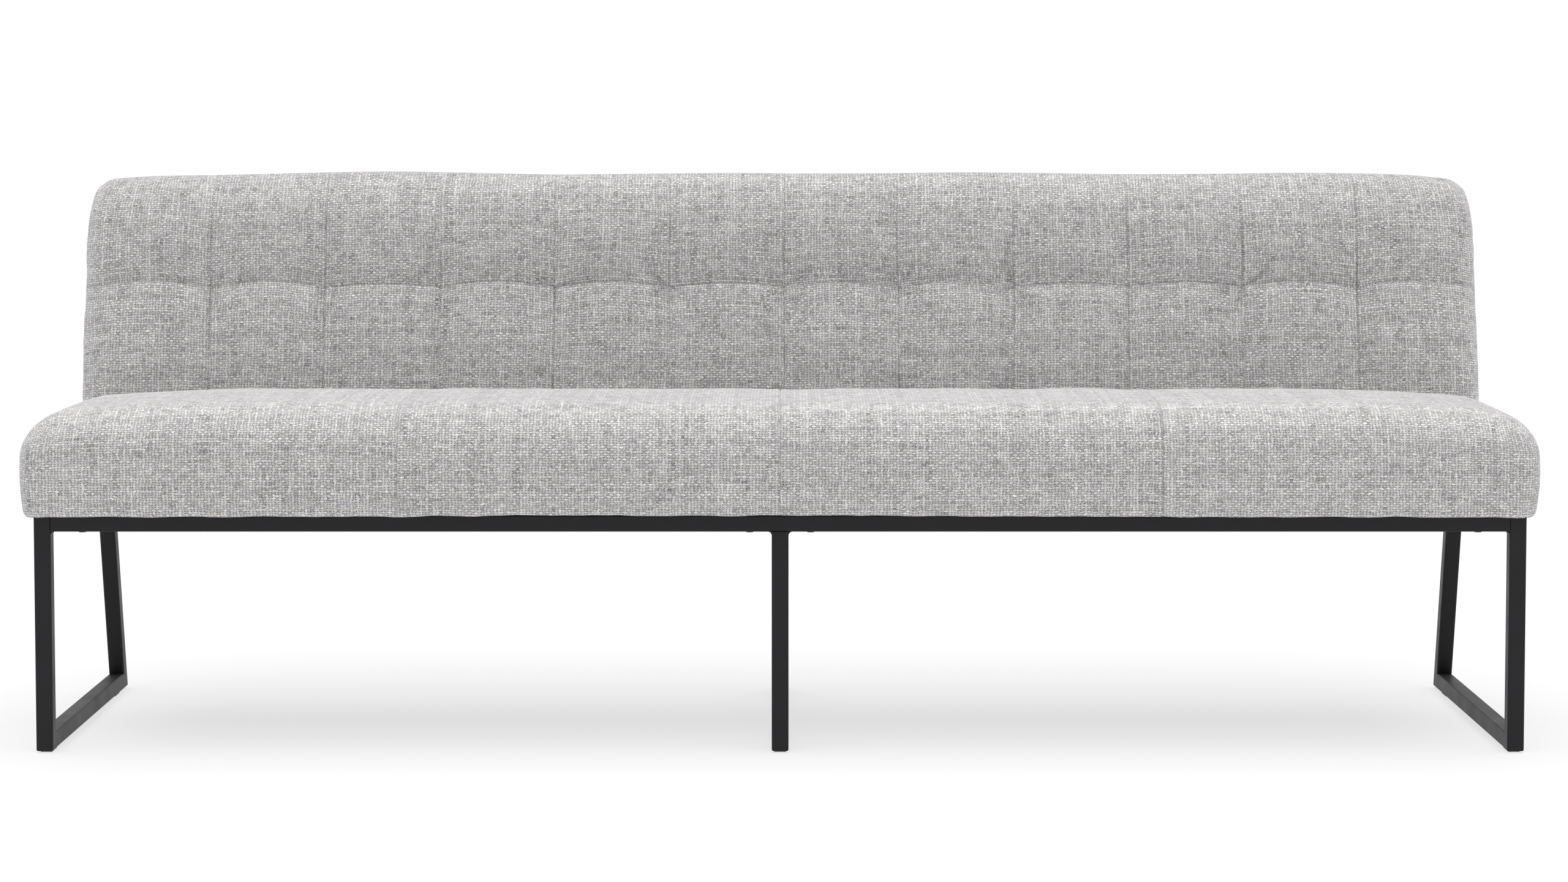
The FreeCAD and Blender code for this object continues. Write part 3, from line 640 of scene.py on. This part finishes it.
# Materials
class Graph:
    """Short calls for making a material's nodes."""

    def __init__(self, name):
        self.material = bpy.data.materials.new(name)
        self.material.use_nodes = True
        self.tree = self.material.node_tree
        self.tree.nodes.clear()
        self.out = self.tree.nodes.new("ShaderNodeOutputMaterial")
        self.shader = self.tree.nodes.new("ShaderNodeBsdfPrincipled")
        self.link(self.shader.outputs[0], self.out.inputs[0])

    def node(self, kind, **values):
        n = self.tree.nodes.new(kind)
        for k, v in values.items():
            setattr(n, k, v)
        return n

    def link(self, a, b):
        self.tree.links.new(a, b)

    def put(self, socket, value):
        if hasattr(value, "is_linked"):
            self.link(value, socket)
        else:
            socket.default_value = value

    def math(self, operation, *values, clamp=False):
        n = self.node("ShaderNodeMath", operation=operation, use_clamp=clamp)
        for socket, value in zip(n.inputs, values):
            self.put(socket, value)
        return n.outputs[0]

    def vector(self, x, y, z=0.0):
        n = self.node("ShaderNodeCombineXYZ")
        for socket, value in zip(n.inputs, (x, y, z)):
            self.put(socket, value)
        return n.outputs[0]

    def noise(self, at, scale, detail=2.0, rough=0.5):
        n = self.node("ShaderNodeTexNoise")
        n.inputs["Scale"].default_value = scale
        n.inputs["Detail"].default_value = detail
        n.inputs["Roughness"].default_value = rough
        self.link(at, n.inputs["Vector"])
        return n.outputs[0]

    def random(self, value, seed):
        n = self.node("ShaderNodeTexWhiteNoise", noise_dimensions="1D")
        self.put(n.inputs["W"], self.math("ADD", value, seed))
        return n.outputs[0]

    def spread(self, value, low, high, to_low=0.0, to_high=1.0):
        n = self.node("ShaderNodeMapRange")
        self.put(n.inputs["Value"], value)
        for name, v in zip(("From Min", "From Max", "To Min", "To Max"), (low, high, to_low, to_high)):
            n.inputs[name].default_value = v
        return n.outputs[0]

    def vary(self, noise, amount):
        """A noise as plus or minus an amount."""
        return self.spread(noise, 0.3, 0.7, -amount, amount)

    def jitter(self, value, seed, amount):
        """A random number per whole value, as plus or minus an amount."""
        return self.spread(self.random(value, seed), 0.0, 1.0, -amount, amount)

    def stretched(self, x, y, scale_x, scale_y, z=0.0):
        """A place with its two directions scaled apart."""
        return self.vector(self.math("MULTIPLY", x, scale_x), self.math("MULTIPLY", y, scale_y), z)

    def less(self, value, amount, start=1.0):
        """What is left of start when a value takes away a share of it."""
        return self.math("SUBTRACT", start, self.math("MULTIPLY", value, amount))

    def ramp(self, value, stops):
        n = self.node("ShaderNodeValToRGB")
        elements = n.color_ramp.elements
        while len(elements) < len(stops):
            elements.new(0.5)
        for e, (at, colour) in zip(elements, stops):
            e.position = at
            e.color = (*colour, 1)
        self.link(value, n.inputs[0])
        return n.outputs[0]

    def mix(self, factor, a, b, kind="MIX"):
        n = self.node("ShaderNodeMix", data_type="RGBA", blend_type=kind)
        self.put(n.inputs[0], factor)
        self.put(n.inputs[6], a)
        self.put(n.inputs[7], b)
        return n.outputs[2]

    def choose(self, factor, a, b):
        n = self.node("ShaderNodeMix", data_type="FLOAT")
        self.put(n.inputs[0], factor)
        self.put(n.inputs[2], a)
        self.put(n.inputs[3], b)
        return n.outputs[0]

    def bump(self, height, distance, strength=1.0):
        n = self.node("ShaderNodeBump")
        n.inputs["Strength"].default_value = strength
        n.inputs["Distance"].default_value = distance
        self.link(height, n.inputs["Height"])
        self.link(n.outputs[0], self.shader.inputs["Normal"])

    def set(self, **values):
        for k, v in values.items():
            self.put(self.shader.inputs[k.replace("_", " ")], v)
        return self.material


def tweed():
    """Grey basket weave: thick mixed yarns, light and dark, that pass over each other in turn."""
    warp_pitch, weft_pitch = 4.75 * MM, 3.75 * MM
    wander = 0.26             # of the yarns, as a share of their pitch
    g = Graph("grey_tweed")
    uv = g.node("ShaderNodeUVMap", uv_map="cloth").outputs[0]
    parts = g.node("ShaderNodeSeparateXYZ")
    g.link(uv, parts.inputs[0])
    u, v = parts.outputs[0], parts.outputs[1]
    warp = g.math("ADD", g.math("DIVIDE", u, warp_pitch), g.vary(g.noise(uv, 95.0), wander))
    weft = g.math("ADD", g.math("DIVIDE", v, weft_pitch), g.vary(g.noise(g.vector(v, u), 95.0), wander))

    # The yarn on top is long along its own way and bulges over its neighbours.
    turn_u = g.math("MULTIPLY", warp, math.pi)
    turn_v = g.math("MULTIPLY", weft, math.pi)
    bulge = g.math("MULTIPLY", g.math("COSINE", turn_u), g.math("SINE", turn_v))
    pinch = g.math("MULTIPLY", g.math("SINE", turn_u), g.math("COSINE", turn_v))
    warp = g.math("MULTIPLY_ADD", bulge, 0.15, warp)
    weft = g.math("MULTIPLY_ADD", pinch, -0.13, weft)
    iu, iv = g.math("FLOOR", warp), g.math("FLOOR", weft)
    fu, fv = g.math("FRACT", warp), g.math("FRACT", weft)
    over = g.math("PINGPONG", g.math("ADD", iu, iv), 1.0)
    ru = g.math("ABSOLUTE", g.math("MULTIPLY_ADD", fu, 2.0, -1.0))
    rv = g.math("ABSOLUTE", g.math("MULTIPLY_ADD", fv, 2.0, -1.0))
    corner = g.math("POWER", g.math("MULTIPLY", ru, rv), 1.5)
    flank = g.math("POWER", g.choose(over, rv, ru), 2.6)
    dive = g.math("POWER", g.choose(over, ru, rv), 5.0)
    height = g.less(corner, 0.25, g.less(dive, 0.3, g.less(flank, 0.45)))

    # Tone: along each yarn, from yarn to yarn, from crossing to crossing, and in patches and fibres
    warp_run = g.noise(g.stretched(iu, v, 3.71, 42.0), 1.0, 3.0, 0.6)
    weft_run = g.noise(g.stretched(iv, u, 2.93, 36.0, 7.0), 1.0, 3.0, 0.6)
    run_low, run_high, yarn = 0.27, 0.71, 0.09
    warp_tone = g.math("ADD", g.spread(warp_run, 0.25, 0.75, run_low, run_high), g.jitter(iu, 3.0, yarn))
    weft_tone = g.math("ADD", g.spread(weft_run, 0.25, 0.75, run_low, run_high), g.jitter(iv, 8.0, yarn))
    tone = g.choose(over, weft_tone, warp_tone)
    crossing = g.math("MULTIPLY_ADD", iu, 17.31, g.math("MULTIPLY", iv, 7.77))
    tone = g.math("ADD", tone, g.jitter(crossing, 5.0, 0.12))
    tone = g.math("ADD", tone, g.vary(g.noise(uv, 34.0, 3.0, 0.55), 0.045))
    fibre_warp = g.noise(g.stretched(u, v, 1900.0, 420.0), 1.0)
    fibre_weft = g.noise(g.stretched(u, v, 420.0, 1900.0), 1.0)
    fibre = g.choose(over, fibre_weft, fibre_warp)
    tone = g.math("ADD", tone, g.vary(fibre, 0.24), clamp=True)
    colour = g.ramp(
        tone,
        [
            (0.0, (0.121, 0.119, 0.121)),
            (0.3, (0.41, 0.403, 0.405)),
            (0.62, (0.676, 0.665, 0.665)),
            (1.0, (0.955, 0.943, 0.94)),
        ],
    )
    fleck = g.noise(g.stretched(u, v, 120.0, 120.0, 4.0), 1.0, 3.0, 0.7)
    tint = g.ramp(
        fleck,
        [(0.33, (1.02, 0.985, 1.02)), (0.5, (1.0, 1.0, 1.0)), (0.68, (1.02, 1.02, 0.95))],
    )
    colour = g.mix(1.0, colour, tint, "MULTIPLY")

    # Shade between the yarns, lightened over the seat's top as painted light, and painted shade along the
    # seams, at the tufts and in the creases
    shade = g.less(corner, 0.87, 1.09)
    shade = g.math("MULTIPLY", shade, g.less(flank, 0.44))
    shade = g.math("MULTIPLY", shade, g.less(dive, 0.22))
    shade = g.math("MULTIPLY", shade, g.choose(over, 1.05, 0.93))
    # Painted light: the seat's top is lighter, with less shade between its yarns
    painted_top_light = g.node("ShaderNodeAttribute", attribute_name="painted_top_light").outputs["Fac"]
    shade = g.choose(g.math("MULTIPLY", painted_top_light, 0.5), shade, 1.02)
    # Painted shade: darker colour along the seams, at the tufts and in the creases
    seam_shade = g.node("ShaderNodeAttribute", attribute_name="seam_shade").outputs["Fac"]
    shade = g.math("MULTIPLY", shade, g.spread(seam_shade, 0.0, 1.0, 1.0, 0.52))
    colour = g.mix(1.0, colour, g.vector(shade, shade, shade), "MULTIPLY")
    g.bump(g.math("ADD", height, g.math("MULTIPLY", fibre, 0.35)), 0.55 * MM, 0.8)
    return g.set(
        Base_Color=colour,
        Roughness=0.92,
        Specular_IOR_Level=0.18,
        Sheen_Weight=0.3,
        Sheen_Tint=(0.95, 0.95, 1.0, 1.0),
        Sheen_Roughness=0.5,
    )


def position(g):
    return g.node("ShaderNodeTexCoord").outputs["Object"]


def sharp_edges(g, radius):
    """1 along sharp edges and 0 on the flats."""
    soft = g.node("ShaderNodeBevel", samples=4)
    soft.inputs["Radius"].default_value = radius
    plain = g.node("ShaderNodeNewGeometry")
    dot = g.node("ShaderNodeVectorMath", operation="DOT_PRODUCT")
    g.link(soft.outputs[0], dot.inputs[0])
    g.link(plain.outputs["Normal"], dot.inputs[1])
    return g.spread(dot.outputs["Value"], 0.99, 0.9)


def black_steel():
    """Black powder coat over steel tube, with a fine grain and edges lightened, partly as rubbed coat and
    partly as a painted highlight.
    """
    g = Graph("black_steel")
    at = position(g)
    grain = g.noise(at, 1500.0, 2.0, 0.6)
    patch = g.noise(at, 14.0, 3.0, 0.55)
    # Lighter edges: partly rubbed coat, partly a painted highlight
    edge_rub_and_highlight = g.math("MULTIPLY", sharp_edges(g, 1.2 * MM), g.spread(g.noise(at, 55.0, 3.0), 0.4, 0.7))
    colour = g.ramp(patch, [(0.3, (0.0068, 0.0066, 0.0082)), (0.7, (0.0098, 0.0096, 0.0116))])
    colour = g.mix(g.math("MULTIPLY", edge_rub_and_highlight, 0.5), colour, (0.05, 0.05, 0.053, 1))
    g.bump(grain, 0.05 * MM, 0.6)
    rough = g.math("ADD", g.spread(patch, 0.3, 0.7, 0.44, 0.54), g.spread(grain, 0.3, 0.7, -0.04, 0.04))
    return g.set(Base_Color=colour, Roughness=rough, Specular_IOR_Level=0.26)


def plain(name, low, high, scale, rough, depth, **extra):
    """A mottled, slightly rough surface."""
    g = Graph(name)
    at = position(g)
    fine = g.noise(at, scale, 4.0, 0.65)
    broad = g.noise(at, scale / 14, 2.0)
    mixed = g.math("ADD", g.math("MULTIPLY", fine, 0.65), g.math("MULTIPLY", broad, 0.35))
    colour = g.ramp(mixed, [(0.35, low), (0.65, high)])
    g.bump(fine, depth, 0.7)
    return g.set(Base_Color=colour, Roughness=g.spread(fine, 0.3, 0.7, rough - 0.06, rough + 0.06), **extra)


def wood(name, low, high, ply=False):
    g = Graph(name)
    at = g.node("ShaderNodeMapping")
    at.inputs["Scale"].default_value = (3.0, 60.0, 60.0) if not ply else (14.0, 220.0, 14.0)
    g.link(position(g), at.inputs[0])
    rings = g.noise(at.outputs[0], 1.0, 5.0, 0.6)
    fibre = g.noise(at.outputs[0], 7.0, 3.0, 0.6)
    mixed = g.math("ADD", g.math("MULTIPLY", rings, 0.7), g.math("MULTIPLY", fibre, 0.3))
    colour = g.ramp(mixed, [(0.35, low), (0.65, high)])
    g.bump(fibre, 0.2 * MM, 0.5)
    return g.set(Base_Color=colour, Roughness=g.spread(fibre, 0.3, 0.7, 0.6, 0.75))


def floor_material():
    """White floor. It shows white to the eye and to gloss, and keeps the object's shadow."""
    g = Graph("floor")
    rays = g.node("ShaderNodeLightPath")
    seen = g.math(
        "MAXIMUM",
        rays.outputs["Is Camera Ray"],
        g.math("MAXIMUM", rays.outputs["Is Glossy Ray"], rays.outputs["Is Transmission Ray"]),
    )
    glow = g.node("ShaderNodeEmission")
    glow.inputs["Strength"].default_value = FLOOR_GLOW
    shown = g.node("ShaderNodeBsdfDiffuse")
    shown.inputs["Color"].default_value = (FLOOR_SHOWN, FLOOR_SHOWN, FLOOR_SHOWN, 1)
    both = g.node("ShaderNodeAddShader")
    g.link(shown.outputs[0], both.inputs[0])
    g.link(glow.outputs[0], both.inputs[1])
    real = g.node("ShaderNodeBsdfDiffuse")
    real.inputs["Color"].default_value = (FLOOR_WHITE, FLOOR_WHITE, FLOOR_WHITE, 1)
    pick = g.node("ShaderNodeMixShader")
    g.link(seen, pick.inputs[0])
    g.link(real.outputs[0], pick.inputs[1])
    g.link(both.outputs[0], pick.inputs[2])
    g.tree.nodes.remove(g.shader)
    g.link(pick.outputs[0], g.out.inputs[0])
    return g.material


steel = black_steel()
cloth = tweed()
black_plastic = plain("black_plastic", (0.012, 0.012, 0.012), (0.022, 0.022, 0.022), 900.0, 0.55, 0.05 * MM)
zinc = plain("zinc_steel", (0.5, 0.5, 0.49), (0.66, 0.66, 0.65), 420.0, 0.38, 0.02 * MM, Metallic=1.0)
timber = wood("timber", (0.42, 0.27, 0.13), (0.62, 0.45, 0.26))
plywood = wood("plywood", (0.5, 0.36, 0.2), (0.68, 0.53, 0.34), ply=True)
foam = plain("foam", (0.72, 0.66, 0.46), (0.85, 0.8, 0.62), 1400.0, 0.9, 0.4 * MM)
felt = plain("felt", (0.1, 0.1, 0.1), (0.33, 0.32, 0.32), 700.0, 0.95, 0.5 * MM)
dust = plain("black_dust_cloth", (0.006, 0.006, 0.006), (0.022, 0.022, 0.022), 1100.0, 0.85, 0.25 * MM)
twine = plain("twine", (0.6, 0.55, 0.44), (0.78, 0.73, 0.62), 1500.0, 0.85, 0.3 * MM)

# The finish of each solid, by the first word that its name has. The rest are black steel.
BY_WORD = [
    ("glide", black_plastic),
    ("seat_bolts", steel),
    ("seat_inserts", zinc),
    ("stile_screws", zinc),
    ("washers", zinc),
    ("spring_felt", felt),
    ("springs", steel),
    ("clips", black_plastic),
    ("timber", timber),
    ("stile", timber),
    ("board", plywood),
    ("foam", foam),
    ("dust_cover", dust),
    ("ties", twine),
    ("_cover", cloth),
]
for name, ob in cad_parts.items():
    finish = next((m for word, m in BY_WORD if word in name), steel)
    if not ob.material_slots:
        ob.data.materials.append(finish)
    for slot in ob.material_slots:
        slot.material = finish

# Upholstery in place of the plain covers and foam
for make, stood_for, fill in (
    (make_seat, ("seat_cover", "seat_foam"), 0.9),
    (make_back_front, ("back_front_cover", "back_foam"), 0.75),
    (make_back_rear, ("back_rear_cover",), 0.95),
):
    piece = make()
    piece.data.materials.clear()
    piece.data.materials.append(cloth)
    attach(piece, "root")
    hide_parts(*stood_for)

# Floor
bpy.ops.mesh.primitive_grid_add(x_subdivisions=4, y_subdivisions=4, size=240.0, location=(0, 40, 0))
floor = bpy.context.object
floor.name = "floor"
floor.data.materials.append(floor_material())

# Surroundings: a dim even light, shown white to the eye and to gloss
world = bpy.data.worlds.new("studio")
scene.world = world
world.use_nodes = True
tree = world.node_tree
tree.nodes.clear()
rays = tree.nodes.new("ShaderNodeLightPath")
sky = tree.nodes.new("ShaderNodeBackground")
sky.inputs[0].default_value = (1, 1, 1, 1)
sky.inputs[1].default_value = 0.2
white = tree.nodes.new("ShaderNodeBackground")
white.inputs[0].default_value = (1, 1, 1, 1)
pick = tree.nodes.new("ShaderNodeMixShader")
either = tree.nodes.new("ShaderNodeMath")
either.operation = "MAXIMUM"
any_seen = tree.nodes.new("ShaderNodeMath")
any_seen.operation = "MAXIMUM"
tree.links.new(rays.outputs["Is Glossy Ray"], either.inputs[0])
tree.links.new(rays.outputs["Is Transmission Ray"], either.inputs[1])
tree.links.new(rays.outputs["Is Camera Ray"], any_seen.inputs[0])
tree.links.new(either.outputs[0], any_seen.inputs[1])
tree.links.new(any_seen.outputs[0], pick.inputs[0])
tree.links.new(sky.outputs[0], pick.inputs[1])
tree.links.new(white.outputs[0], pick.inputs[2])
end = tree.nodes.new("ShaderNodeOutputWorld")
tree.links.new(pick.outputs[0], end.inputs[0])


def sun(name, strength, angle, tilt, turn):
    """A broad lamp far away. Its angles are in degrees."""
    lamp = bpy.data.lights.new(name, "SUN")
    lamp.energy = strength
    lamp.angle = math.radians(angle)
    ob = bpy.data.objects.new(name, lamp)
    ob.rotation_euler = (math.radians(tilt), 0, math.radians(turn))
    scene.collection.objects.link(ob)


sun("top_light", strength=3.7, angle=70, tilt=4, turn=0)
sun("front_light", strength=0.05, angle=60, tilt=58, turn=8)

cam = bpy.data.cameras.new("camera")
cam.sensor_width = 36.0
cam.lens = 79.136
cam.shift_y = -0.08
cam.clip_end = 400
eye = bpy.data.objects.new("camera", cam)
eye.location = (0.0057, -5.3442, 0.9483)
eye.rotation_euler = (math.radians(90 - 3.401), 0, 0)
scene.collection.objects.link(eye)
scene.camera = eye
